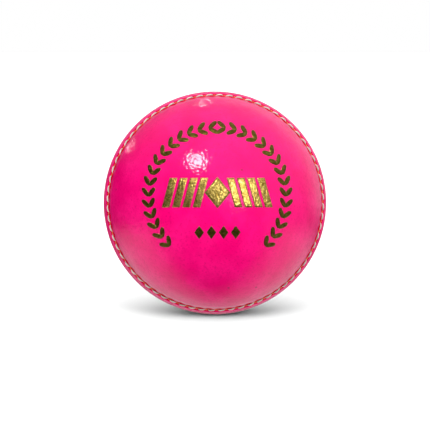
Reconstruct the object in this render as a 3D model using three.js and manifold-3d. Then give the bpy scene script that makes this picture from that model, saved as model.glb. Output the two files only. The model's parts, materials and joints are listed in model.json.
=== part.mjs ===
// A cricket ball: two leather cups sewn together over a core built up in layers of cork and worsted yarn.
// Millimetres, +Z up. The origin is the centre of the ball. It is built with the poles of the cups on the Y axis,
// the front one on -Y, so the cups meet in the XZ plane and the seam runs right round in it. It is then leant back
// a little, because a ball doesn't balance on the raised lips of its seam: it lies over on the band beside them.
import * as THREE from "three";
import { mergeVertices } from "three/addons/utils/BufferGeometryUtils.js";
import Module from "manifold-3d";

// Driving dimensions. The ball measures 225 mm round over bare leather and 229 mm round over the seam.
const LEATHER_R = 35.8; // outside of the leather, away from the seam
const LIP_R = 36.4; // top of the two raised lips where the cups meet
const LEATHER_THICKNESS = 4;
const CLEARANCE = 0.3; // left between neighbouring pieces
const LEAN = THREE.MathUtils.degToRad(5); // of the poles from level, front pole up

// Each cup carries three rows of stitches. A row has its height above the plane where the cups meet, how far from
// the centre its thread runs, and how far out the leather comes on its side away from the lip.
const ROWS = [
  { name: "inner", height: 2.2, threadAt: 35.8, leatherBeyond: 36.35 },
  { name: "middle", height: 5.3, threadAt: 35.65, leatherBeyond: 36.3 },
  { name: "outer", height: 8.4, threadAt: 35.75, leatherBeyond: LEATHER_R },
];
const STITCHES_PER_ROW = 68;
const STITCH_THREAD_R = 0.45;
const LOCK_THREAD_R = 0.2;

// The core, from the middle outwards: radii of each layer, with gaps that their flat facets can't close.
const NUCLEUS_R = 11;
const FIRST_WINDING = { inside: 11.6, outside: 14.6 };
const FIRST_CORK = { inside: 15.4, outside: 18.2 };
const SECOND_WINDING = { inside: 19, outside: 22.2 };
const SECOND_CORK = { inside: 23, outside: 25.8 };
const YARN_ENTRY_R = 1.5; // where the yarn passes in to the layer below
const CORK_STRIPS = 4;
const CORK_JOINT = 0.6;

// How finely round shapes are cut into facets.
const CUP_FACETS = 48;
const CORE_FACETS = 20;
const CORE_RINGS = 12;
const LOCK_FACETS = 48;

const CUP_INSIDE_R = LEATHER_R - LEATHER_THICKNESS;
const OUTER_WINDING = { inside: 26.6, outside: CUP_INSIDE_R - 0.5 };
const LOCK_THREAD_DEPTH = STITCH_THREAD_R + CLEARANCE + LOCK_THREAD_R; // below the stitch thread, centre to centre
const CHANNEL_FLOOR_DEPTH = LOCK_THREAD_DEPTH + LOCK_THREAD_R + CLEARANCE; // below the stitch thread's centre
const CHANNEL_HALF_WIDTH = STITCH_THREAD_R + CLEARANCE;
const JOINT_HEIGHT = CLEARANCE / 2; // each cup stops this far from the plane where they meet

const leather = new THREE.MeshStandardMaterial({ color: 0xf2187d, roughness: 0.35, metalness: 0 });
const stitchThread = new THREE.MeshStandardMaterial({ color: 0xd8d5cb, roughness: 0.75, metalness: 0 });
const lockThread = new THREE.MeshStandardMaterial({ color: 0xf27a4c, roughness: 0.75, metalness: 0 });
const cork = new THREE.MeshStandardMaterial({ color: 0xb4865a, roughness: 0.9, metalness: 0 });
const yarn = new THREE.MeshStandardMaterial({ color: 0xd9c8a6, roughness: 0.95, metalness: 0 });

const wasm = await Module();
wasm.setup();

const ball = new THREE.Group();
const leaning = new THREE.Group();
leaning.rotation.x = -LEAN;
ball.add(leaning);

function add(name, geometry, material) {
  const mesh = new THREE.Mesh(geometry, material);
  mesh.name = name;
  leaning.add(mesh);
  return mesh;
}

// The point of an outline that is this far from the centre of the ball and this high above the seam plane.
function at(radius, height) {
  return new THREE.Vector2(Math.sqrt(Math.max(0, radius * radius - height * height)), height);
}

// Points of an outline along an arc about the centre, between two heights, both ends included.
function arc(radius, fromHeight, toHeight, steps) {
  const from = Math.asin(fromHeight / radius);
  const to = Math.asin(toHeight / radius);
  const angles = Array.from({ length: steps + 1 }, (_, i) => from + ((to - from) * i) / steps);
  return angles.map((angle) => at(radius, radius * Math.sin(angle)));
}

// One cup, opening towards -Y: a bowl of leather with a lip at the joint and a channel under each row of stitches.
function cupGeometry() {
  const outline = arc(CUP_INSIDE_R, CUP_INSIDE_R, JOINT_HEIGHT, 9);
  outline.push(at(LIP_R, JOINT_HEIGHT));
  let leatherBefore = LIP_R;
  for (const { height, threadAt, leatherBeyond } of ROWS) {
    const near = height - CHANNEL_HALF_WIDTH;
    const far = height + CHANNEL_HALF_WIDTH;
    const floor = threadAt - CHANNEL_FLOOR_DEPTH;
    outline.push(at(leatherBefore, near), at(floor, near), at(floor, far), at(leatherBeyond, far));
    leatherBefore = leatherBeyond;
  }
  const dome = arc(LEATHER_R, ROWS.at(-1).height + CHANNEL_HALF_WIDTH, LEATHER_R, 12);
  outline.push(...dome.slice(1));
  return new THREE.LatheGeometry(outline, CUP_FACETS);
}

// A closed ring of thread round the ball, in the row at this height and this far from the centre.
function threadRing(radius, height, threadRadius, sides, facets) {
  return new THREE.TorusGeometry(at(radius, height).x, threadRadius, sides, facets).rotateX(Math.PI / 2);
}

function addCup(side, sign) {
  const cup = add(`${side}_cup`, cupGeometry(), leather);
  if (sign < 0) cup.rotation.x = Math.PI;
  for (const { name, height, threadAt } of ROWS) {
    const stitches = threadRing(threadAt, height, STITCH_THREAD_R, 4, STITCHES_PER_ROW);
    add(`${side}_${name}_stitch_thread`, stitches, stitchThread).position.y = sign * height;
    const locks = threadRing(threadAt - LOCK_THREAD_DEPTH, height, LOCK_THREAD_R, 3, LOCK_FACETS);
    add(`${side}_${name}_lock_thread`, locks, lockThread).position.y = sign * height;
  }
}

// A layer of wound yarn: a thick ball-shaped shell with a small hole at one pole, where the yarn starts.
function windingGeometry({ inside, outside }) {
  const rimHeight = (radius) => Math.sqrt(radius ** 2 - YARN_ENTRY_R ** 2);
  const outer = arc(outside, -outside, rimHeight(outside), CORE_RINGS);
  const inner = arc(inside, rimHeight(inside), -inside, CORE_RINGS - 3);
  return new THREE.LatheGeometry([...outer, ...inner], CORE_FACETS);
}

function solidFrom(geometry) {
  const bare = geometry.clone();
  bare.deleteAttribute("normal");
  bare.deleteAttribute("uv");
  const merged = mergeVertices(bare);
  return new wasm.Manifold(
    new wasm.Mesh({
      numProp: 3,
      vertProperties: new Float32Array(merged.attributes.position.array),
      triVerts: new Uint32Array(merged.index.array),
    }),
  );
}

function geometryFrom(solid) {
  const mesh = solid.getMesh();
  return new THREE.BufferGeometry()
    .setAttribute("position", new THREE.BufferAttribute(mesh.vertProperties, 3))
    .setIndex(new THREE.BufferAttribute(mesh.triVerts, 1));
}

// One strip of a cork layer: a quarter of a hollow ball, cut back on its two sides to leave the joints.
function corkStripGeometry({ inside, outside }) {
  const shell = (radius) => solidFrom(new THREE.SphereGeometry(radius, CORE_FACETS, CORE_RINGS));
  const reach = 2 * outside;
  const middle = (reach + CORK_JOINT) / 2;
  const quarter = new THREE.BoxGeometry(reach, 2 * reach, reach).translate(middle, 0, middle);
  return geometryFrom(shell(outside).subtract(shell(inside)).intersect(solidFrom(quarter)));
}

// The strips of a cork layer lie side by side round the Y axis, turned so that their joints miss the next layer's.
function addCorkLayer(name, layer, turn) {
  for (let i = 0; i < CORK_STRIPS; i++) {
    const strip = add(`${name}_cork_strip_${i + 1}`, corkStripGeometry(layer), cork);
    strip.rotation.y = turn + (i * 2 * Math.PI) / CORK_STRIPS;
  }
}

add("cork_nucleus", new THREE.SphereGeometry(NUCLEUS_R, CORE_FACETS, CORE_RINGS), cork);
add("first_yarn_winding", windingGeometry(FIRST_WINDING), yarn);
addCorkLayer("first", FIRST_CORK, 0);
add("second_yarn_winding", windingGeometry(SECOND_WINDING), yarn);
addCorkLayer("second", SECOND_CORK, Math.PI / 4);
add("outer_yarn_winding", windingGeometry(OUTER_WINDING), yarn);
addCup("front", -1);
addCup("back", 1);

export default ball;
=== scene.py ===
"""The looks of a cricket ball: lacquered leather cups, sewn seam, foil stamp and the cork and yarn core.

Its shapes are worked out in millimetres in the ball's own axes, with the front pole on -Y and the seam in the
XZ plane. piece() leans them back as the CAD model leans, and turns them into metres. The stage is in metres.
"""

import json
import math

import bpy
import numpy as np
from mathutils import Matrix, Vector

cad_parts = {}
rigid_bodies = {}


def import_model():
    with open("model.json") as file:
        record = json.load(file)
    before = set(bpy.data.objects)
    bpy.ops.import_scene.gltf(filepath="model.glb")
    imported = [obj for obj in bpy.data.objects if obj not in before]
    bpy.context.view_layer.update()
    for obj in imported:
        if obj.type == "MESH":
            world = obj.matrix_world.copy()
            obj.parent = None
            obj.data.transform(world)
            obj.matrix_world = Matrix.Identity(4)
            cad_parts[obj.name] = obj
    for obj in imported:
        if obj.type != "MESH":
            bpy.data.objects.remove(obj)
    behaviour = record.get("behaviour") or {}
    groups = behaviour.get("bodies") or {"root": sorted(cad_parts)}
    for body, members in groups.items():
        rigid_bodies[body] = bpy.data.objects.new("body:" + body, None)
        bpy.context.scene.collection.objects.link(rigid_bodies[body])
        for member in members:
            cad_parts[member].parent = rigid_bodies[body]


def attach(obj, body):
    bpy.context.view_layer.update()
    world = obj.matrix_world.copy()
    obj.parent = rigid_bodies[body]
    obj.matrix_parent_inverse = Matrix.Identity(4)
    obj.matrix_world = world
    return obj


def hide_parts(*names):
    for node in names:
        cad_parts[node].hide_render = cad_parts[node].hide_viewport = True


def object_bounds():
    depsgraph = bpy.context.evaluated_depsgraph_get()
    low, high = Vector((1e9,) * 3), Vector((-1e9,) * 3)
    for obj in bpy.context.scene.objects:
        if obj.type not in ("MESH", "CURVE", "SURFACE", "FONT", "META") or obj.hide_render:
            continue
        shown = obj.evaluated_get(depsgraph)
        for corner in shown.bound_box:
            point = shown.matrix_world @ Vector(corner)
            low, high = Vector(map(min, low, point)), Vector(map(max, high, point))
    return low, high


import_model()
cad_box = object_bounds()

# Sizes, as in the CAD model.
LEATHER_R = 35.8
LIP_RISE = 0.6  # the seam's lips stand this far above the bare leather
CUP_INSIDE_R = 31.8
LEAN = math.radians(5)
ROW_HEIGHTS = {"inner": 2.2, "middle": 5.3, "outer": 8.4}
STITCHES = 68

# Arcs are in millimetres along the leather, from the seam towards a cup's pole.
POLE_ARC = LEATHER_R * math.pi / 2
ROW_ARCS = {name: LEATHER_R * math.asin(height / LEATHER_R) for name, height in ROW_HEIGHTS.items()}

# The sewn band stands proud of the bare leather.
BAND_SLOPE = 0.014  # its drop for each millimetre from the seam
BAND_EDGE = 7.3  # where it begins to fall to the bare leather
BAND_FALL = 2.4  # width of that fall
JOINT_ARC = 0.12  # each cup stops this far from the seam
CREASE_DEPTH = 0.4  # of the crease between the two lips
CREASE_WIDTH = 0.3
SWELLS = ((10.6, 1.6, -0.05), (12.6, 1.0, 0.05))  # middle, half-width and rise of the waves beside the band
UNEVEN_FROM = 9  # the dome's unevenness begins here
UNEVEN_FADE = 4  # and is full this much further on

# The sewing. Each stitch leaves the leather by a hole on the pole's side of its row and goes in by one on the
# seam's side.
STITCH_SPAN = 0.84  # share of the pitch that a white stitch takes along its row
LOCK_OVERLAP = 0.09  # share of the pitch by which an orange lock overlaps the stitch on either side of it
HOLE_OFFSET = 0.55  # of each hole from the middle of its row
HOLE_R = 0.42
HOLE_DEPTH = 0.35
SHADE_REACH = 1.3  # of the painted crimson shade beside the outer row, where it is narrowest
SHADE_WEDGE = 0.55  # half of how much further it reaches where it is widest
SHADE_FADE = 0.7
GROOVE_DEPTH = 0.6
GROOVE_SEAM_SIDE = 1.1  # width of a groove's slope
GROOVE_POLE_SIDE = 0.85
THREAD_HALF_WIDTH = 0.42
THREAD_HALF_HEIGHT = 0.26
THREAD_TOPS = {"inner": 36.25, "middle": 36.1, "outer": 36.16}  # how far from the centre the stitches reach
LOCK_HALF_WIDTH = 0.3
LOCK_HALF_HEIGHT = 0.27


def smooth(x):
    x = np.clip(x, 0, 1)
    return x * x * (3 - 2 * x)


def waves(points, wavelength, seed, count=24):
    """Smooth noise from -1 to 1 or so: waves of one length that run in seeded random directions."""
    rng = np.random.default_rng(seed)
    directions = rng.normal(size=(count, 3))
    directions /= np.linalg.norm(directions, axis=1, keepdims=True)
    phases = rng.uniform(0, 2 * np.pi, count)
    total = np.zeros(len(points))
    for direction, phase in zip(directions, phases):
        total += np.sin(points @ direction * (2 * np.pi / wavelength) + phase)
    return total / math.sqrt(count / 2) / 1.5


# ------------------------------------------------------------------------------
# The shape of the leather


def row_phase(side, row):
    """Where along its row the first stitch begins, as a share of the pitch."""
    return {"inner": 0.15, "middle": 0.55, "outer": 0.0}[row] + (0.3 if side == "back" else 0)


def along_row(side, row, turn):
    """Place along a row in pitches, counted as the sewing runs: clockwise, seen from the cup's pole."""
    return -turn * STITCHES / (2 * np.pi) - row_phase(side, row)


def band_rise(arc):
    """The sewn band stands proud of the bare leather, and falls to it across the outer row."""
    return (LIP_RISE - BAND_SLOPE * arc) * (1 - smooth((arc - BAND_EDGE) / BAND_FALL))


def bowl(x):
    """1 at x = 0, falling smoothly to 0 at 1 and -1."""
    return (1 - np.clip(np.abs(x), 0, 1) ** 2) ** 2


def groove_shape(arc, row):
    """0 beside a row of stitches to 1 at the bottom of its groove."""
    x = arc - ROW_ARCS[row]
    return bowl(x / np.where(x > 0, GROOVE_POLE_SIDE, GROOVE_SEAM_SIDE))


def wedge_shade(arc, within):
    """The wedge of painted crimson shade beside each stitch of the outer row, widest near the stitch's end.
    """
    reach = SHADE_REACH + SHADE_WEDGE * (1 - np.cos(2 * np.pi * (within - 0.15)))
    beyond = arc - ROW_ARCS["outer"]
    starts = smooth((beyond + 0.9) / 0.5)  # in the row's groove
    return (1 - smooth((beyond - reach) / SHADE_FADE)) * starts


def leather_offset(side, arc, turn):
    """How far the leather stands above LEATHER_R, and the painted shade of each place (0 to 1), which falls
    where it is sunken and also leaves it bare of lacquer.
    """
    offset = band_rise(arc) - CREASE_DEPTH * np.exp(-((arc / CREASE_WIDTH) ** 2))
    for middle, half_width, rise in SWELLS:
        offset = offset + rise * bowl((arc - middle) / half_width)
    # Painted crimson shade: in the crease at the joint, in the grooves and needle holes, and in a wedge
    # beside the outer row.
    hollow_shade = 0.8 * np.exp(-((arc / 0.22) ** 2))
    for row, centre in ROW_ARCS.items():
        place = along_row(side, row, turn)
        within = place - np.floor(place)
        # The thread draws the leather down most where it lies across it, and the leather bulges in between.
        groove = groove_shape(arc, row) * (0.8 + 0.2 * np.cos(2 * np.pi * (within - STITCH_SPAN / 2)))
        offset = offset - GROOVE_DEPTH * groove
        hollow_shade = np.maximum(hollow_shade, groove * smooth((arc - centre + 0.5) / 0.5))
        # Painted shade in a wedge beside each stitch of the outer row.
        if row == "outer":
            hollow_shade = np.maximum(hollow_shade, wedge_shade(arc, within))
        pitch = 2 * np.pi * LEATHER_R * math.cos(centre / LEATHER_R) / STITCHES
        for hole, shift in ((0.0, HOLE_OFFSET), (STITCH_SPAN, -HOLE_OFFSET)):
            across = arc - centre - shift
            along = (within - hole - np.round(within - hole)) * pitch
            dimple = np.exp(-(across**2 + along**2) / HOLE_R**2)
            offset = offset - HOLE_DEPTH * dimple
            hollow_shade = np.maximum(hollow_shade, dimple)
    return offset, np.clip(hollow_shade, 0, 1)


def unevenness(side, points):
    """Of the leather's surface: a long swell and a shorter, lower one."""
    seed = 11 if side == "front" else 12
    return 0.045 * waves(points, 19, seed) + 0.018 * waves(points, 6.5, seed + 20)


def on_ball(side, arc, turn, radius):
    """Points in the ball's own axes. turn is anticlockwise from the right, seen from the cup's pole."""
    latitude = arc / LEATHER_R
    flat = radius * np.cos(latitude)
    sign = 1 if side == "front" else -1
    columns = (sign * flat * np.cos(turn), -sign * radius * np.sin(latitude), flat * np.sin(turn))
    return np.stack(np.broadcast_arrays(*columns), axis=-1)


def leather_points(side, arc, turn, lift=0.0):
    """Points on the leather's outside, or lifted off it."""
    offset, hollow_shade = leather_offset(side, arc, turn)
    smooth_points = on_ball(side, arc, turn, LEATHER_R)
    fade = smooth((arc - UNEVEN_FROM) / UNEVEN_FADE)
    wobble = unevenness(side, smooth_points.reshape(-1, 3)).reshape(np.shape(offset))
    return on_ball(side, arc, turn, LEATHER_R + offset + fade * wobble + lift), hollow_shade


# ------------------------------------------------------------------------------
# Meshes

LEAN_AND_SCALE = Matrix.Scale(0.001, 4) @ Matrix.Rotation(-LEAN, 4, "X")


def piece(name, points, faces, material, values=None):
    """A mesh piece that rides on the ball. values holds numbers for its material, one for each point."""
    mesh = bpy.data.meshes.new(name)
    mesh.from_pydata(np.asarray(points, float).reshape(-1, 3).tolist(), [], faces)
    mesh.transform(LEAN_AND_SCALE)
    mesh.polygons.foreach_set("use_smooth", [True] * len(mesh.polygons))
    for key, data in (values or {}).items():
        attribute = mesh.attributes.new(key, "FLOAT", "POINT")
        attribute.data.foreach_set("value", np.ravel(data).astype(np.float32))
    mesh.materials.append(material)
    mesh.update()
    made = bpy.data.objects.new(name, mesh)
    bpy.context.scene.collection.objects.link(made)
    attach(made, "root")
    return made


def join_rings(first, first_count, second, second_count):
    """Faces between two closed rings of points. The second has as many points as the first, or half that."""
    faces = []
    if first_count == second_count:
        for i in range(first_count):
            j = (i + 1) % first_count
            faces.append((first + i, first + j, second + j, second + i))
        return faces
    for i in range(second_count):
        j = (i + 1) % second_count
        near, middle, far = first + 2 * i, first + 2 * i + 1, first + (2 * i + 2) % first_count
        faces.append((near, middle, second + i))
        faces.append((middle, far, second + j))
        faces.append((middle, second + j, second + i))
    return faces


def slab_faces(steps_p, steps_q):
    """Faces of a closed slab. Its top is a grid of points, and its bottom, which comes next, is another."""
    row = steps_q + 1
    count = row * (steps_p + 1)
    faces = []
    for i in range(steps_p):
        for j in range(steps_q):
            a = i * row + j
            faces.append((a, a + row, a + row + 1, a + 1))
            faces.append((count + a, count + a + 1, count + a + row + 1, count + a + row))
    rim = list(range(steps_q))
    rim += [i * row + steps_q for i in range(steps_p)]
    rim += [steps_p * row + j for j in range(steps_q, 0, -1)]
    rim += [i * row for i in range(steps_p, 0, -1)]
    faces += [(a, b, count + b, count + a) for a, b in zip(rim, rim[1:] + rim[:1])]
    return faces


def tube_loop_faces(rings, sides):
    """Faces of a closed loop of tube, from rings of points that follow one another."""
    faces = []
    for i in range(rings):
        for k in range(sides):
            a, b = i * sides + k, i * sides + (k + 1) % sides
            c, d = (i + 1) % rings * sides + (k + 1) % sides, (i + 1) % rings * sides + k
            faces.append((a, d, c, b))
    return faces


# ------------------------------------------------------------------------------
# Materials


def new_material(name):
    material = bpy.data.materials.new(name)
    material.use_nodes = True
    tree = material.node_tree
    tree.nodes.clear()
    shader = tree.nodes.new("ShaderNodeBsdfPrincipled")
    output = tree.nodes.new("ShaderNodeOutputMaterial")
    tree.links.new(shader.outputs["BSDF"], output.inputs["Surface"])
    return material, tree, shader


def node(tree, kind, inputs=None, **settings):
    """A shader node, with its settings, and its inputs given as numbers, colours or another node's output."""
    made = tree.nodes.new("ShaderNode" + kind)
    for key, value in settings.items():
        setattr(made, key, value)
    for key, value in (inputs or {}).items():
        if isinstance(value, bpy.types.NodeSocket):
            tree.links.new(value, made.inputs[key])
        else:
            made.inputs[key].default_value = value
    return made


def noise(tree, where, size_mm, detail=3.0, roughness=0.5, distortion=0.0):
    """Noise of 0 to 1 with features of this size."""
    inputs = {
        "Vector": where,
        "Scale": 1000 / size_mm,
        "Detail": detail,
        "Roughness": roughness,
        "Distortion": distortion,
    }
    return node(tree, "TexNoise", inputs).outputs["Fac"]


def ramp(tree, value, low, high):
    """value turned into 0 at low and 1 at high, smoothly."""
    inputs = {"Value": value, "From Min": low, "From Max": high}
    return node(tree, "MapRange", inputs, interpolation_type="SMOOTHSTEP").outputs["Result"]


def times(tree, a, b):
    return node(tree, "Math", {0: a, 1: b}, operation="MULTIPLY").outputs[0]


def plus(tree, a, b):
    return node(tree, "Math", {0: a, 1: b}, operation="ADD").outputs[0]


def mix(tree, share, first, second):
    made = node(tree, "Mix", {"Factor": share}, data_type="RGBA")
    for index, value in ((6, first), (7, second)):
        if isinstance(value, bpy.types.NodeSocket):
            tree.links.new(value, made.inputs[index])
        else:
            made.inputs[index].default_value = (*value, 1)
    return made.outputs[2]


def bump(tree, height, distance_mm, strength=1.0, normal=None):
    inputs = {"Height": height, "Distance": distance_mm / 1000, "Strength": strength}
    if normal is not None:
        inputs["Normal"] = normal
    return node(tree, "Bump", inputs).outputs["Normal"]


def object_place(tree):
    return node(tree, "TexCoord").outputs["Object"]


def leather_material():
    material, tree, shader = new_material("lacquered_pink_leather")
    where = object_place(tree)
    hollow_shade = node(tree, "Attribute", attribute_name="hollow_shade").outputs["Fac"]

    clouds = ramp(tree, noise(tree, where, 9, 2), 0.35, 0.65)
    blotches = ramp(tree, noise(tree, where, 2.2, 4, 0.6), 0.4, 0.7)
    grain = noise(tree, where, 0.7, 2)
    spots = node(tree, "TexVoronoi", {"Vector": where, "Scale": 1000 / 8})
    spotted = node(tree, "SeparateColor", {"Color": spots.outputs["Color"]}).outputs["Blue"]
    specks = times(tree, ramp(tree, spots.outputs["Distance"], 0.07, 0.03), ramp(tree, spotted, 0.6, 0.62))
    colour = mix(tree, clouds, (0.85, 0.001, 0.160), (0.94, 0.006, 0.200))
    colour = mix(tree, times(tree, blotches, 0.4), colour, (0.74, 0.001, 0.130))
    colour = mix(tree, times(tree, ramp(tree, grain, 0.5, 0.75), 0.5), colour, (0.64, 0.001, 0.100))
    colour = mix(tree, times(tree, specks, 0.8), colour, (0.36, 0.010, 0.060))
    # Painted crimson shade in the crease at the joint, in the grooves and needle holes, and beside the outer
    # row.
    colour = mix(tree, ramp(tree, hollow_shade, 0.2, 0.8), colour, (0.62, 0.0, 0.03))
    tree.links.new(colour, shader.inputs["Base Color"])

    peel = noise(tree, where, 0.75, 0)
    tree.links.new(bump(tree, peel, 0.075), shader.inputs["Coat Normal"])
    tree.links.new(bump(tree, noise(tree, where, 0.5, 3), 0.05), shader.inputs["Normal"])

    bare = ramp(tree, hollow_shade, 0.1, 0.7)
    tree.links.new(plus(tree, 1.0, times(tree, bare, -1.0)), shader.inputs["Coat Weight"])
    roughness = plus(tree, plus(tree, times(tree, blotches, 0.1), 0.42), times(tree, bare, 0.4))
    tree.links.new(roughness, shader.inputs["Roughness"])
    shader.inputs["Specular IOR Level"].default_value = 0.1
    shader.inputs["Coat Roughness"].default_value = 0.03
    return material


def thread_material(name, light, dark):
    material, tree, shader = new_material(name)
    where = object_place(tree)
    fibres = noise(tree, where, 0.12, 4, 0.7)
    grime = ramp(tree, noise(tree, where, 1.6, 3), 0.35, 0.75)
    colour = mix(tree, ramp(tree, fibres, 0.35, 0.7), dark, light)
    colour = mix(tree, times(tree, grime, 0.35), colour, dark)
    tree.links.new(colour, shader.inputs["Base Color"])
    tree.links.new(bump(tree, fibres, 0.03, 0.8), shader.inputs["Normal"])
    shader.inputs["Roughness"].default_value = 0.6
    shader.inputs["Specular IOR Level"].default_value = 0.3
    shader.inputs["Sheen Weight"].default_value = 0.2
    return material


def foil_material(name, bright, dark, speckle):
    """Stamped metal foil, creased into small facets by the leather's grain."""
    material, tree, shader = new_material(name)
    where = object_place(tree)
    facets = node(tree, "TexVoronoi", {"Vector": where, "Scale": 1000 / 0.4}).outputs["Color"]
    tone = node(tree, "SeparateColor", {"Color": facets}).outputs["Red"]
    patches = ramp(tree, noise(tree, where, 1.4, 4, 0.7), 0.35, 0.65)
    share = plus(tree, times(tree, ramp(tree, tone, 0.3, 0.9), speckle), times(tree, patches, 1 - speckle))
    tree.links.new(mix(tree, share, dark, bright), shader.inputs["Base Color"])
    tree.links.new(bump(tree, noise(tree, where, 0.6, 0), 0.14), shader.inputs["Normal"])
    shader.inputs["Metallic"].default_value = 0.85
    shader.inputs["Roughness"].default_value = 0.3
    return material


def cork_material():
    material, tree, shader = new_material("cut_cork")
    where = object_place(tree)
    granules = node(tree, "TexVoronoi", {"Vector": where, "Scale": 1000 / 2.2, "Randomness": 1.0})
    tone = node(tree, "SeparateColor", {"Color": granules.outputs["Color"]}).outputs["Green"]
    edges = node(tree, "TexVoronoi", {"Vector": where, "Scale": 1000 / 2.2}, feature="DISTANCE_TO_EDGE")
    gap = ramp(tree, edges.outputs["Distance"], 0.0, 0.09)
    colour = mix(tree, tone, (0.36, 0.19, 0.085), (0.60, 0.38, 0.20))
    colour = mix(tree, gap, (0.17, 0.085, 0.04), colour)
    tree.links.new(colour, shader.inputs["Base Color"])
    pits = noise(tree, where, 0.5, 4, 0.65)
    tree.links.new(bump(tree, plus(tree, times(tree, gap, 0.6), pits), 0.15, 0.8), shader.inputs["Normal"])
    shader.inputs["Roughness"].default_value = 0.85
    return material


def yarn_material():
    material, tree, shader = new_material("worsted_yarn")
    where = object_place(tree)
    strand_shade = node(tree, "Attribute", attribute_name="strand_shade").outputs["Fac"]
    fibres = noise(tree, where, 0.3, 5, 0.7, 0.4)
    patches = ramp(tree, noise(tree, where, 6, 3), 0.3, 0.7)
    colour = mix(tree, patches, (0.60, 0.50, 0.36), (0.76, 0.67, 0.52))
    colour = mix(tree, ramp(tree, fibres, 0.5, 0.75), colour, (0.45, 0.36, 0.25))
    # Painted shade in the valleys between the strands of yarn.
    colour = mix(tree, ramp(tree, strand_shade, 0.0, 0.6), (0.24, 0.18, 0.11), colour)
    tree.links.new(colour, shader.inputs["Base Color"])
    tree.links.new(bump(tree, fibres, 0.12, 0.8), shader.inputs["Normal"])
    shader.inputs["Roughness"].default_value = 0.9
    shader.inputs["Sheen Weight"].default_value = 0.3
    return material


LEATHER = leather_material()
WHITE_THREAD = thread_material("waxed_white_thread", (0.82, 0.79, 0.72), (0.58, 0.54, 0.46))
ORANGE_THREAD = thread_material("waxed_orange_thread", (0.95, 0.24, 0.07), (0.75, 0.10, 0.04))
BRIGHT_FOIL = foil_material("bright_gold_foil", (1.0, 0.74, 0.20), (0.30, 0.19, 0.02), 0.55)
DARK_FOIL = foil_material("dark_gold_foil", (0.25, 0.20, 0.030), (0.12, 0.085, 0.010), 0.25)
CORK = cork_material()
YARN = yarn_material()


# ------------------------------------------------------------------------------
# Leather cups

CUP_COLUMNS = 12 * STITCHES
SEWN_WIDTH = 12.8  # the part of a cup that gets the finest mesh
SEWN_STEP = 0.2
DOME_STEP = 0.62
INSIDE_RINGS = 14
INSIDE_COLUMNS = CUP_COLUMNS // 8
EDGE_RINGS = ((CUP_COLUMNS // 4, 33.2), (CUP_COLUMNS // 2, 34.4))  # points and radius of each, at the joint
POLE_GAP = 0.8  # the rings stop about this far from the pole


def cup_rings():
    """Arc and number of points of each ring of a cup's outside, from the joint to near the pole."""
    rings = [(arc, CUP_COLUMNS) for arc in np.arange(JOINT_ARC, SEWN_WIDTH, SEWN_STEP)]
    count = CUP_COLUMNS // 2
    for arc in np.arange(SEWN_WIDTH + DOME_STEP / 2, POLE_ARC - POLE_GAP, DOME_STEP):
        spacing = 2 * math.pi * LEATHER_R * math.cos(arc / LEATHER_R) / count
        if spacing < DOME_STEP * 0.5 and count % 2 == 0:
            count //= 2
        rings.append((arc, count))
    return rings


def ring_turns(count):
    return np.arange(count) * 2 * np.pi / count


def cup_points(side):
    """Rings of points over the inside to the joint, across the leather's edge and over the outside."""
    rings, hollow_shades = [], []
    inside_joint_arc = JOINT_ARC * LEATHER_R / CUP_INSIDE_R
    for i in range(INSIDE_RINGS):
        arc = max(POLE_ARC * (1 - (i + 1) / INSIDE_RINGS), inside_joint_arc)
        rings.append(on_ball(side, arc, ring_turns(INSIDE_COLUMNS), CUP_INSIDE_R))
        hollow_shades.append(np.zeros(INSIDE_COLUMNS))
    # The leather's edge at the joint is fully in painted shade.
    for count, radius in EDGE_RINGS:
        rings.append(on_ball(side, JOINT_ARC, ring_turns(count), radius))
        hollow_shades.append(np.ones(count))
    for arc, count in cup_rings():
        ring, hollow_shade = leather_points(side, np.full(count, arc), ring_turns(count))
        rings.append(ring)
        hollow_shades.append(hollow_shade)
    return rings, hollow_shades


def build_cup(side):
    rings, hollow_shades = cup_points(side)
    counts = [len(ring) for ring in rings]
    starts = [sum(counts[:k]) for k in range(len(rings))]
    total = sum(counts)
    faces = []
    for k in range(len(rings) - 1):
        if counts[k + 1] > counts[k]:
            flipped = join_rings(starts[k + 1], counts[k + 1], starts[k], counts[k])
            faces += [face[::-1] for face in flipped]
        else:
            faces += join_rings(starts[k], counts[k], starts[k + 1], counts[k + 1])

    pole = leather_points(side, np.array([POLE_ARC]), np.array([0.0]))[0][0]
    inside_pole = on_ball(side, POLE_ARC, 0.0, CUP_INSIDE_R)
    last, last_count = starts[-1], counts[-1]
    faces += [(last + i, last + (i + 1) % last_count, total) for i in range(last_count)]
    faces += [((i + 1) % counts[0], i, total + 1) for i in range(counts[0])]
    points = np.concatenate([*rings, [pole, inside_pole]])
    values = {"hollow_shade": np.concatenate([*hollow_shades, [0, 0]])}
    made = piece(side + "_leather_cup", points, faces, LEATHER, values)
    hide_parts(side + "_cup")


# ------------------------------------------------------------------------------
# Threads

STITCH_SCATTER = (0.012, 0.05, 0.05)  # of a stitch's place in pitches, its slant and its relative thickness
STITCH_END_DROP = 0.85  # of a stitch's ends below its middle
STITCH_UNDER_DROP = 1.15  # of the thread under the leather
LOCK_SCATTER = (0.012, 0.03)  # of a lock's place in pitches and its height
LOCK_END_DROP = 1.0  # of a lock's ends below the tops of the stitches
LOCK_RISE = 0.55  # of a lock's middle above its ends
LOCK_UNDER_DROP = 1.4  # of the thread between two locks


def row_seed(side, row):
    return list(ROW_ARCS).index(row) + (10 if side == "back" else 0)


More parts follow.
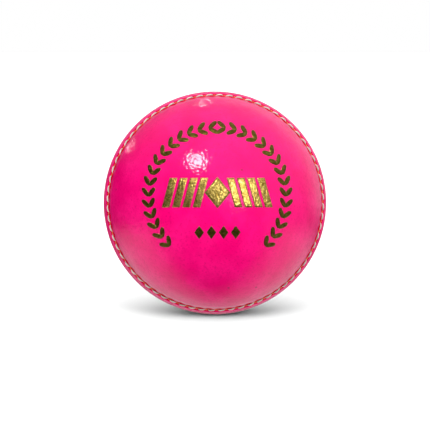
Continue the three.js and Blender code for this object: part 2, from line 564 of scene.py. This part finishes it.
def thread_loop(side, row, centre_line, half_width, half_height, sides, plies, turns_per_pitch):
    """A closed loop of thread along a row. centre_line is place in pitches, arc, radius and size factor."""
    place, arc, radius, size = centre_line
    turn = -(place + row_phase(side, row)) * 2 * np.pi / STITCHES
    centre = on_ball(side, arc, turn, radius)
    tangent = np.roll(centre, -1, axis=0) - np.roll(centre, 1, axis=0)
    tangent /= np.linalg.norm(tangent, axis=1, keepdims=True)
    out = centre / np.linalg.norm(centre, axis=1, keepdims=True)
    across = np.cross(tangent, out)
    across /= np.linalg.norm(across, axis=1, keepdims=True)
    up = np.cross(across, tangent)
    angle = np.arange(sides) * 2 * np.pi / sides
    twist = 2 * np.pi * turns_per_pitch * place
    lobes = 1 - 0.16 * np.abs(np.cos(plies / 2 * (angle[None, :] - twist[:, None])))
    wide = (half_width * size)[:, None] * lobes * np.cos(angle)
    high = (half_height * size)[:, None] * lobes * np.sin(angle)
    rings = centre[:, None, :] + wide[..., None] * across[:, None, :] + high[..., None] * up[:, None, :]
    return rings.reshape(-1, 3), tube_loop_faces(len(place), sides)


def build_stitches(side, row):
    """The white thread: over the leather aslant, down a hole, and under it to the next hole."""
    rng = np.random.default_rng(100 + row_seed(side, row))
    over = np.linspace(0, 1, 15)
    centre_arc = ROW_ARCS[row]
    top = THREAD_TOPS[row] - THREAD_HALF_HEIGHT
    places, arcs, radii, sizes = [], [], [], []
    for k in range(STITCHES):
        slip, tilt, fat = rng.normal(0, STITCH_SCATTER)
        places.append(k + slip + STITCH_SPAN * over)
        arcs.append(centre_arc + (HOLE_OFFSET + tilt) * (1 - 2 * over))
        radii.append(top - STITCH_END_DROP * np.abs(2 * over - 1) ** 4)
        sizes.append((0.4 + 0.6 * np.sin(np.pi * over).clip(0) ** 0.6) * (1 + fat))
        under = STITCH_SPAN + (1 - STITCH_SPAN) * np.array([1 / 3, 2 / 3])
        places.append(k + under)
        arcs.append(centre_arc + HOLE_OFFSET * np.array([-1 / 3, 1 / 3]))
        radii.append(np.full(2, top - STITCH_UNDER_DROP))
        sizes.append(np.full(2, 0.6))
    line = tuple(np.concatenate(part) for part in (places, arcs, radii, sizes))
    half_sizes = (THREAD_HALF_WIDTH, THREAD_HALF_HEIGHT)
    points, faces = thread_loop(side, row, line, *half_sizes, sides=12, plies=3, turns_per_pitch=0.9)
    made = piece(f"{side}_{row}_white_stitches", points, faces, WHITE_THREAD)
    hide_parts(f"{side}_{row}_stitch_thread")


def build_locks(side, row):
    """The orange thread: it shows in the gap between two white stitches, and runs under them."""
    rng = np.random.default_rng(300 + row_seed(side, row))
    over = np.linspace(0, 1, 7)
    centre_arc = ROW_ARCS[row]
    top = THREAD_TOPS[row]
    start = STITCH_SPAN - LOCK_OVERLAP
    length = 1 - STITCH_SPAN + 2 * LOCK_OVERLAP
    places, arcs, radii, sizes = [], [], [], []
    for k in range(STITCHES):
        slip, lift = rng.normal(0, LOCK_SCATTER)
        places.append(k + slip + start + length * over)
        arcs.append(centre_arc + HOLE_OFFSET * (1.2 * over - 0.2))
        radii.append(top - LOCK_END_DROP + (LOCK_RISE + lift) * np.sin(np.pi * over) ** 0.7)
        sizes.append(0.8 + 0.2 * np.sin(np.pi * over))
        hidden = np.array([0.25, 0.5, 0.75])
        places.append(k + start + length + (1 - length) * hidden)
        arcs.append(centre_arc + HOLE_OFFSET * (1 - 1.2 * hidden))
        radii.append(np.full(3, top - LOCK_UNDER_DROP))
        sizes.append(np.full(3, 0.8))
    line = tuple(np.concatenate(part) for part in (places, arcs, radii, sizes))
    half_sizes = (LOCK_HALF_WIDTH, LOCK_HALF_HEIGHT)
    points, faces = thread_loop(side, row, line, *half_sizes, sides=8, plies=2, turns_per_pitch=1.5)
    made = piece(f"{side}_{row}_orange_locks", points, faces, ORANGE_THREAD)
    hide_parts(f"{side}_{row}_lock_thread")


# ------------------------------------------------------------------------------
# Foil stamp on the front cup: a laurel wreath, a band of slanting bars with a lozenge, and a row of lozenges.
# Places are in millimetres right of and above the pole, as seen from the front.

FOIL_PROUD = 0.05  # of the leather
FOIL_SUNK = 0.12  # underside of the foil, below the leather
WREATH_CENTRE = (0.2, 1.9)
WREATH_R = 21.6
WREATH_FROM = -46  # degrees above level, at the first pair of leaves on each side
WREATH_TO = 83  # and at the last
LEAF_PAIRS = 15
LEAF_LENGTH = 3.3
LEAF_WIDTH = 1.35
LEAF_SPREAD = 0.62  # of a leaf from the wreath's line, in radians
BAND_CENTRE = (0.1, 3.0)
BAND_LOZENGE = (4.0, 4.9)  # half-width and half-height
BARS_EACH_SIDE = 4
FIRST_BAR = 5.3  # from the band's centre
BAR_STEP = 3.2
BAR_WIDTH = 2.35
BAR_HEIGHT = 9.2
BAR_SLANT = 2.5
SMALL_LOZENGE = (1.5, 2.1)
SMALL_STEP = 3.8
SMALL_ROW_HEIGHT = -9.4


def front_view_to_ball(x, z, lift):
    """Points on the front cup's leather that lie at this place when seen straight from the front."""
    off_axis = np.sqrt(x**2 + z**2)
    arc = LEATHER_R * np.arccos(np.clip(off_axis / LEATHER_R, -1, 1))
    return leather_points("front", arc, np.arctan2(z, x), lift)[0]


def foil_patch(outline, steps_p, steps_q):
    """A thin closed slab. outline maps p and q, each 0 to 1, to a place in the front view."""
    p, q = np.meshgrid(np.linspace(0, 1, steps_p + 1), np.linspace(0, 1, steps_q + 1), indexing="ij")
    x, z = outline(p, q)
    top = front_view_to_ball(x, z, FOIL_PROUD).reshape(-1, 3)
    bottom = front_view_to_ball(x, z, -FOIL_SUNK).reshape(-1, 3)
    return np.concatenate([top, bottom]), slab_faces(steps_p, steps_q)


def build_foil(name, outlines, material):
    points, faces, start = [], [], 0
    for outline, steps_p, steps_q in outlines:
        patch_points, patch_faces = foil_patch(outline, steps_p, steps_q)
        points.append(patch_points)
        faces += [tuple(start + v for v in face) for face in patch_faces]
        start += len(patch_points)
    piece(name, np.concatenate(points), faces, material)


def lozenge(x, z, half_width, half_height):
    def outline(p, q):
        return x + half_width * (p - q), z + half_height * (p + q - 1)

    return outline, 8, 8


def slanted_bar(x, z, width, height, slant):
    def outline(p, q):
        return x + width * (p - 0.5) + slant * (q - 0.5), z + height * (q - 0.5)

    return outline, 6, 18


def leaf(x, z, angle, length, width):
    """A pointed leaf that starts at x, z and grows along angle."""

    def outline(p, q):
        along = length * (1 - np.cos(np.pi * p)) / 2
        half = width / 2 * np.sin(np.pi * p) ** 0.8 + 0.04
        across = (2 * q - 1) * half
        return (
            x + along * math.cos(angle) - across * math.sin(angle),
            z + along * math.sin(angle) + across * math.cos(angle),
        )

    return outline, 12, 4


def wreath_outlines():
    outlines = []
    for side in (-1, 1):
        for i in range(LEAF_PAIRS):
            around = math.radians(WREATH_FROM + (WREATH_TO - WREATH_FROM) * i / (LEAF_PAIRS - 1))
            angle = around if side == 1 else math.pi - around
            x = WREATH_CENTRE[0] + WREATH_R * math.cos(angle)
            z = WREATH_CENTRE[1] + WREATH_R * math.sin(angle)
            along = angle + side * math.pi / 2
            outlines.append(leaf(x, z, along + LEAF_SPREAD, LEAF_LENGTH, LEAF_WIDTH))
            outlines.append(leaf(x, z, along - LEAF_SPREAD, LEAF_LENGTH, LEAF_WIDTH))
    return outlines


def band_outlines():
    x, z = BAND_CENTRE
    outlines = [lozenge(x, z, *BAND_LOZENGE)]
    for side in (-1, 1):
        for i in range(BARS_EACH_SIDE):
            bar_x = x + side * (FIRST_BAR + BAR_STEP * i)
            outlines.append(slanted_bar(bar_x, z, BAR_WIDTH, BAR_HEIGHT, -side * BAR_SLANT))
    return outlines


def small_row_outlines():
    steps = (-1.5, -0.5, 0.5, 1.5)
    return [lozenge(BAND_CENTRE[0] + SMALL_STEP * i, SMALL_ROW_HEIGHT, *SMALL_LOZENGE) for i in steps]


# ------------------------------------------------------------------------------
# The core: cork and wound yarn, hidden inside the cups

NUCLEUS_R = 11
WINDINGS = {"first": (11.6, 14.6), "second": (19, 22.2), "outer": (26.6, 31.3)}  # inside and outside radii
CORK_LAYERS = {"first": (15.4, 18.2, 0.0), "second": (23, 25.8, math.pi / 4)}  # radii, and turn of the joints
YARN_ENTRY_R = 1.5  # where the yarn passes in to the layer below
CORK_STRIPS = 4
CORK_JOINT = 0.6
WRAPS = 60  # bands of yarn that show on a winding
WRAP_HALF_WIDTH = 0.16  # of a band, as a share of the radius
STRAND = 2.0  # between the ridges of the wound yarn
STRAND_RISE = 0.28
YARN_BED = -0.45  # height where no band lies
YARN_STEP = 0.5  # between points of the mesh
CORK_STEP = 0.6


def round_rings(latitudes, columns):
    """Ways out from the centre along rings about the Y axis, one ring for each latitude."""
    turn = np.arange(columns) * 2 * np.pi / columns
    latitude = latitudes[:, None]
    parts = (np.cos(latitude) * np.cos(turn), np.sin(latitude) + 0 * turn, -np.cos(latitude) * np.sin(turn))
    return np.stack(parts, axis=-1)


def build_core_piece(name, points, faces, material, replaced, values=None):
    made = piece(name, points, faces, material, values)
    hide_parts(replaced)


def ringed_faces(rings, columns):
    """Faces over rings that follow one another, closed by a point at each end, which come after the rings."""
    count = rings * columns
    faces = [(count, (i + 1) % columns, i) for i in range(columns)]
    for k in range(rings - 1):
        faces += join_rings(k * columns, columns, (k + 1) * columns, columns)
    last = count - columns
    faces += [(last + i, last + (i + 1) % columns, count + 1) for i in range(columns)]
    return faces


def cork_height(points, seed):
    """Granules that stand up a little, with pits between them."""
    pits = smooth((waves(points, 1.9, seed + 1) - 0.3) / 0.4)
    return 0.1 * waves(points, 3.0, seed) - 0.25 * pits


def wound_yarn(out, radius, seed):
    """Height of yarn wound over a ball in bands, each one round a great circle and over the last, and its
    tone: painted shade in the valleys between strands.
    """
    rng = np.random.default_rng(seed)
    height = np.full(out.shape[:-1], YARN_BED)
    tone = np.full(out.shape[:-1], 0.5)
    for _ in range(WRAPS):
        axis = rng.normal(size=3)
        away = radius * (out @ (axis / np.linalg.norm(axis)))
        on = np.abs(away) < radius * WRAP_HALF_WIDTH
        ridge = np.abs(np.cos(np.pi * away / STRAND))
        level = rng.uniform(-0.2, 0)
        height = np.where(on, level + STRAND_RISE * (ridge - 1), height)
        # Painted shade: 0 in the valleys between strands, 1 on their ridges.
        tone = np.where(on, ridge, tone)
    return height, tone


def build_nucleus():
    columns = int(2 * math.pi * NUCLEUS_R / CORK_STEP)
    latitudes = np.linspace(-math.pi / 2, math.pi / 2, columns // 2)[1:-1]
    surface = (NUCLEUS_R * round_rings(latitudes, columns)).reshape(-1, 3)
    surface = surface * (1 + cork_height(surface, 40) / NUCLEUS_R)[:, None]
    poles = np.array([[0, -NUCLEUS_R, 0], [0, NUCLEUS_R, 0]])
    faces = ringed_faces(len(latitudes), columns)
    build_core_piece("cork_core", np.concatenate([surface, poles]), faces, CORK, "cork_nucleus")


def build_winding(name, inside, outside, seed):
    columns = int(2 * math.pi * outside / YARN_STEP)
    rows = columns // 2
    outer = np.linspace(-math.pi / 2, math.acos(YARN_ENTRY_R / outside), rows)[1:]
    inner = np.linspace(math.acos(YARN_ENTRY_R / inside), -math.pi / 2, rows // 4)[:-1]
    out = round_rings(np.concatenate([outer, inner]), columns)
    height, tone = wound_yarn(out, outside, seed)
    radius = np.concatenate([np.full(len(outer), outside), np.full(len(inner), inside)])[:, None]
    radius = radius + np.where(radius == outside, height, 0)
    points = np.concatenate([(out * radius[..., None]).reshape(-1, 3), [[0, -outside, 0], [0, -inside, 0]]])
    faces = ringed_faces(len(out), columns)
    values = {"strand_shade": np.concatenate([tone.ravel(), [0.5, 0.5]])}
    replaced = name + "_yarn_winding"
    build_core_piece(name + "_wound_yarn", points, faces, YARN, replaced, values)


def cork_strip_side(radius, steps_p, steps_q):
    """One side of a cork strip: a quarter of a ball about the Y axis, cut back from the joints."""
    furthest = math.acos(1.5 * CORK_JOINT / radius)
    p, q = np.meshgrid(np.linspace(-1, 1, steps_p + 1), np.linspace(0, 1, steps_q + 1), indexing="ij")
    flat = radius * np.cos(furthest * p)
    cut = np.arcsin(CORK_JOINT / 2 / flat)
    angle = cut + (math.pi / 2 - 2 * cut) * q
    return np.stack([flat * np.cos(angle), radius * np.sin(furthest * p), flat * np.sin(angle)], axis=-1)


def build_cork_layer(name, inside, outside, joint_turn):
    steps_p = int(math.pi * outside / CORK_STEP)
    steps_q = steps_p // 2
    faces = slab_faces(steps_p, steps_q)
    for i in range(CORK_STRIPS):
        turn = joint_turn + i * 2 * math.pi / CORK_STRIPS
        turned = np.array(Matrix.Rotation(turn, 3, "Y")).T
        top = cork_strip_side(outside, steps_p, steps_q).reshape(-1, 3) @ turned
        bottom = cork_strip_side(inside, steps_p, steps_q).reshape(-1, 3) @ turned
        top = top * (1 + cork_height(top, 50 + i) / outside)[:, None]
        replaced = f"{name}_cork_strip_{i + 1}"
        points = np.concatenate([top, bottom])
        build_core_piece(f"{name}_cork_quarter_{i + 1}", points, faces, CORK, replaced)


def build_core():
    build_nucleus()
    for i, (name, (inside, outside)) in enumerate(WINDINGS.items()):
        build_winding(name, inside, outside, seed=60 + i)
    for name, (inside, outside, joint_turn) in CORK_LAYERS.items():
        build_cork_layer(name, inside, outside, joint_turn)


# ------------------------------------------------------------------------------
# The stage

CAMERA_DISTANCE = 0.7185
CAMERA_AZIMUTH = math.radians(-1.1)
CAMERA_ELEVATION = math.radians(4.7)
LENS = 183.935  # focal length for a sensor this wide, both in millimetres
SENSOR_WIDTH = 36
CENTRE_DROP = 0.0040  # the ball's centre is this far above the middle of the picture

FLOOR_R = 6.0
FLOOR_SIDES = 96

# What the lacquer reflects, besides a glow from above: a backdrop, the lit floor, and round softboxes, each
# with the way to it, its width in degrees and its radiance.
BACKDROP = 0.3
FLOOR_GLOW = 0.75
SOFTBOXES = (
    ((-0.305, -0.604, 0.737), 14.5, 22),
    ((-0.084, 0.700, 0.709), 2.6, 18),
    ((-0.608, 0.717, 0.339), 4.5, 6),
    ((0.405, -0.89, 0.229), 26, 1.6),
)
SOFTBOX_EDGE = 0.7  # degrees over which a softbox fades, either side of its edge

LIGHT_DISTANCE = 1.5
# Soft light from wide patches of the studio: the way to each, its strength and its width in degrees.
BALL_WASHES = {
    "overhead": ((0, -0.5, 1.0), 2.4, 90),
    "front": ((0, -1.0, 0.1), 1.7, 90),
    "left": ((-1.0, -0.35, 0.1), 1.25, 90),
    "right": ((1.0, -0.35, 0.1), 1.6, 90),
    "back": ((0, 1.0, 0.3), 1.5, 90),
    "bounce": ((0, -0.6, -1.0), 0.65, 90),
}
FLOOR_WASHES = {
    "floor_overhead": ((0, 0, 1.0), 3.2, 150),
    "floor_front": ((0, -1.0, 0.1), 10, 90),
}


def aim(obj, target):
    obj.rotation_euler = (Vector(target) - obj.location).to_track_quat("-Z", "Y").to_euler()


def build_camera():
    data = bpy.data.cameras.new("camera")
    data.sensor_width = SENSOR_WIDTH
    data.lens = LENS
    data.clip_end = 50
    camera = bpy.data.objects.new("camera", data)
    bpy.context.scene.collection.objects.link(camera)
    flat = CAMERA_DISTANCE * math.cos(CAMERA_ELEVATION)
    height = CAMERA_DISTANCE * math.sin(CAMERA_ELEVATION)
    camera.location = (flat * math.sin(CAMERA_AZIMUTH), -flat * math.cos(CAMERA_AZIMUTH), height)
    aim(camera, (0, 0, -CENTRE_DROP / math.cos(CAMERA_ELEVATION)))
    bpy.context.scene.camera = camera


def floor_material():
    material, _, shader = new_material("white_floor")
    shader.inputs["Base Color"].default_value = (0.9, 0.9, 0.9, 1)
    shader.inputs["Roughness"].default_value = 0.9
    shader.inputs["Specular IOR Level"].default_value = 0.0
    return material


def build_floor():
    height = cad_box[0][2]
    turns = [2 * math.pi * i / FLOOR_SIDES for i in range(FLOOR_SIDES)]
    rim = [(FLOOR_R * math.cos(turn), FLOOR_R * math.sin(turn), height) for turn in turns]
    mesh = bpy.data.meshes.new("floor")
    mesh.from_pydata(rim, [], [tuple(range(FLOOR_SIDES))])
    mesh.materials.append(floor_material())
    floor = bpy.data.objects.new("floor", mesh)
    bpy.context.scene.collection.objects.link(floor)
    floor.visible_glossy = False
    floor.visible_diffuse = False
    return floor


def build_world():
    """White to the camera. In reflections it has the softboxes, is bright above, behind the ball and over the
    floor to the sides, and is dark below in front."""
    world = bpy.data.worlds.new("studio")
    world.use_nodes = True
    tree = world.node_tree
    background = tree.nodes["Background"]
    background.inputs["Color"].default_value = (1, 1, 1, 1)
    direction = node(tree, "TexCoord").outputs["Generated"]
    part = node(tree, "SeparateXYZ", {"Vector": direction}).outputs

    def towards(place):
        return node(tree, "VectorMath", {0: direction, 1: place}, operation="DOT_PRODUCT").outputs["Value"]

    overhead = plus(tree, towards((0.2, 0, 0.45)), 0.05)
    above = node(tree, "Math", {0: overhead, 1: 0.0}, operation="MAXIMUM").outputs[0]
    backdrop = times(tree, ramp(tree, towards((0.35, 0.94, 0)), 0.6, 0.9), ramp(tree, part["Z"], -0.2, -0.05))
    sideways = node(tree, "Math", {0: part["X"]}, operation="ABSOLUTE").outputs[0]
    off_shadow = plus(tree, times(tree, sideways, 0.9), part["Y"])
    floor = times(tree, ramp(tree, off_shadow, 0, 0.9), ramp(tree, part["Z"], -0.15, -0.5))
    reflected = plus(tree, above, times(tree, backdrop, BACKDROP))
    reflected = plus(tree, reflected, times(tree, floor, FLOOR_GLOW))
    for place, width, radiance in SOFTBOXES:
        dark = math.cos(math.radians(width / 2 + SOFTBOX_EDGE))
        lit = math.cos(math.radians(width / 2 - SOFTBOX_EDGE))
        box = ramp(tree, towards(Vector(place).normalized()), dark, lit)
        reflected = plus(tree, reflected, times(tree, box, radiance))
    seen = node(tree, "LightPath").outputs["Is Camera Ray"]
    strength = node(tree, "Mix", {"Factor": seen, "A": reflected, "B": 1.0}).outputs["Result"]
    tree.links.new(strength, background.inputs["Strength"])
    world.cycles_visibility.diffuse = False
    bpy.context.scene.world = world


def place_light(name, kind, direction, **settings):
    data = bpy.data.lights.new(name, kind)
    for key, value in settings.items():
        setattr(data, key, value)
    light = bpy.data.objects.new(name, data)
    light.location = Vector(direction).normalized() * LIGHT_DISTANCE
    bpy.context.scene.collection.objects.link(light)
    aim(light, (0, 0, 0))
    light.visible_camera = False
    return light


def highlight(name, direction, radiance, width_degrees, onto):
    """A round softbox that only shows as a reflection, in the pieces of one collection."""
    size = 2 * LIGHT_DISTANCE * math.tan(math.radians(width_degrees / 2))
    watts = radiance * math.pi**2 * size**2 / 4
    light = place_light(name, "AREA", direction, shape="DISK", size=size, energy=watts)
    light.visible_diffuse = False
    light.light_linking.receiver_collection = onto


def wash(name, direction, strength, width_degrees, onto):
    """Soft light onto one collection. It doesn't show as a reflection, and only the ball blocks it."""
    light = place_light(name, "SUN", direction, angle=math.radians(width_degrees), energy=strength)
    light.data.cycles.use_multiple_importance_sampling = False
    light.visible_glossy = False
    light.light_linking.receiver_collection = onto
    light.light_linking.blocker_collection = bpy.data.collections["ball"]


def build_lights(floor):
    """The ball and the floor each have lights of their own."""
    ball = bpy.data.collections.new("ball")
    for part in bpy.data.objects:
        if part.type == "MESH" and part is not floor:
            part.visible_diffuse = False
            ball.objects.link(part)
    floor_only = bpy.data.collections.new("floor_only")
    floor_only.objects.link(floor)
    for name, settings in BALL_WASHES.items():
        wash(name, *settings, onto=ball)
    for name, settings in FLOOR_WASHES.items():
        wash(name, *settings, onto=floor_only)
    # The foil of the band reflects a softbox that the lacquer round it doesn't.
    foil = bpy.data.collections.new("foil")
    foil.objects.link(bpy.data.objects["foil_band"])
    highlight("foil_glow", (0.40, -0.87, 0.29), 3.0, 30, onto=foil)


build_camera()
for cup_side in ("front", "back"):
    build_cup(cup_side)
    for row_name in ROW_HEIGHTS:
        build_stitches(cup_side, row_name)
        build_locks(cup_side, row_name)
build_foil("foil_wreath", wreath_outlines(), DARK_FOIL)
build_foil("foil_band", band_outlines(), BRIGHT_FOIL)
build_foil("foil_lozenges", small_row_outlines(), DARK_FOIL)
build_core()
build_world()
build_lights(build_floor())
bpy.context.scene.view_settings.view_transform = "Standard"
